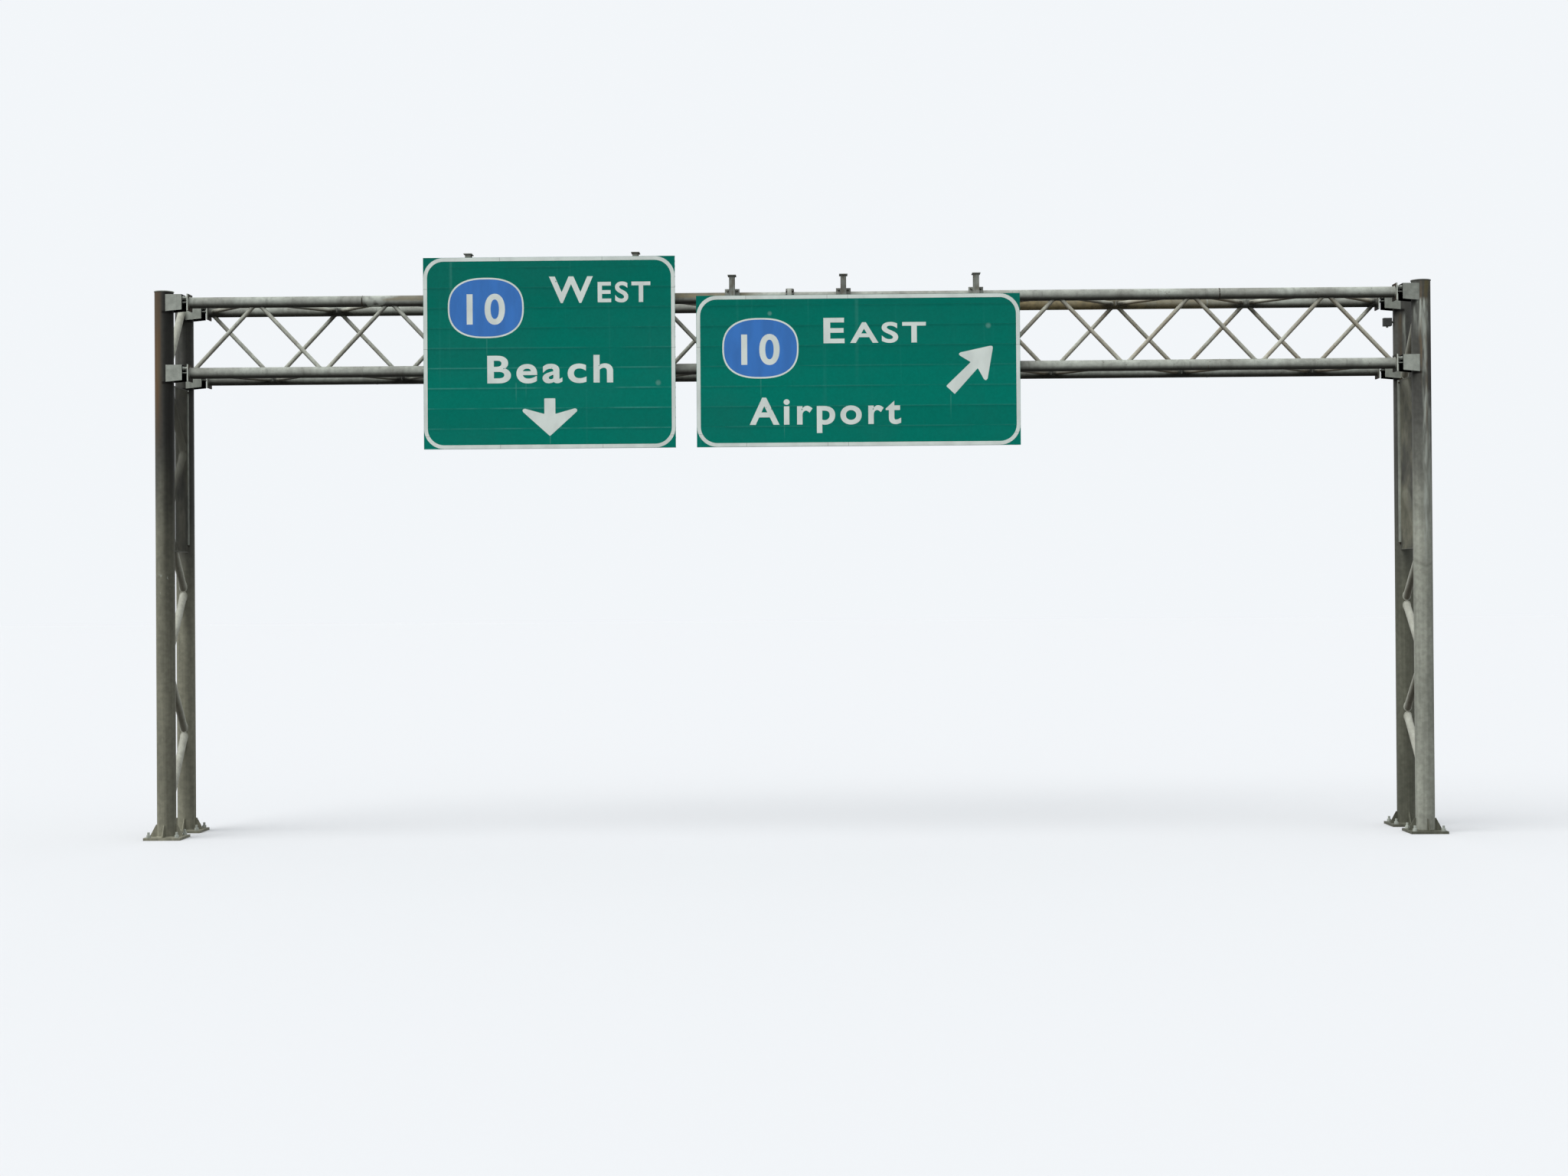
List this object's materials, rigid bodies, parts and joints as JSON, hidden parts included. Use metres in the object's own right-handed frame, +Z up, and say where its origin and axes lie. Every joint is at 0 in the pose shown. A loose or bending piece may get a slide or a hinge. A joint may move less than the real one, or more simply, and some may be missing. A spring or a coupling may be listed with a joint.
{
  "type": "overhead sign gantry",
  "caption": "Overhead sign gantry: tubular box truss seated on laced pipe towers, with hung green guide signs.",
  "frame": {"origin": "middle of the overall box, on the level of the base plates' undersides", "axes": "+X along the truss, to the right as a driver facing the signs sees it; +Y away from that driver; +Z up"},
  "size_m": [19.672, 1.6344, 8.854],
  "materials": {
    "galvanised_steel": "aged hot-dip galvanised, dull, streaked",
    "weathered_steel": "dark weathered galvanised with rust-brown streaks",
    "sign_sheeting": "retroreflective sheeting on extruded aluminium panels, satin",
    "detector_housing": "dark grey paint, matt"
  },
  "bodies": {
    "root": {"left_post_front": "weathered_steel", "left_post_rear": "weathered_steel", "right_post_front": "weathered_steel", "right_post_rear": "weathered_steel", "left_post_caps": "galvanised_steel", "right_post_caps": "galvanised_steel", "left_lacing": "weathered_steel", "right_lacing": "weathered_steel", "left_base_front": "weathered_steel", "left_base_rear": "weathered_steel", "right_base_front": "weathered_steel", "right_base_rear": "weathered_steel", "left_front_seats": "galvanised_steel", "left_rear_seats": "galvanised_steel", "right_front_seats": "galvanised_steel", "right_rear_seats": "galvanised_steel", "left_screen": "weathered_steel", "right_screen": "weathered_steel", "front_top_chord_left": "galvanised_steel", "front_top_chord_right": "galvanised_steel", "front_bottom_chord_left": "galvanised_steel", "front_bottom_chord_right": "galvanised_steel", "rear_top_chord_left": "galvanised_steel", "rear_top_chord_right": "galvanised_steel", "rear_bottom_chord_left": "galvanised_steel", "rear_bottom_chord_right": "galvanised_steel", "front_web_left": "galvanised_steel", "front_web_right": "galvanised_steel", "rear_web_left": "galvanised_steel", "rear_web_right": "galvanised_steel", "top_bracing_left": "galvanised_steel", "top_bracing_right": "galvanised_steel", "bottom_bracing_left": "galvanised_steel", "bottom_bracing_right": "galvanised_steel", "left_sign": "sign_sheeting", "right_sign": "sign_sheeting", "left_sign_hangers": "galvanised_steel", "right_sign_hangers": "galvanised_steel", "left_sign_clamps": "galvanised_steel", "right_sign_clamps": "galvanised_steel", "detector_box": "detector_housing", "detector_stub": "detector_housing"}
  },
  "joints": []
}
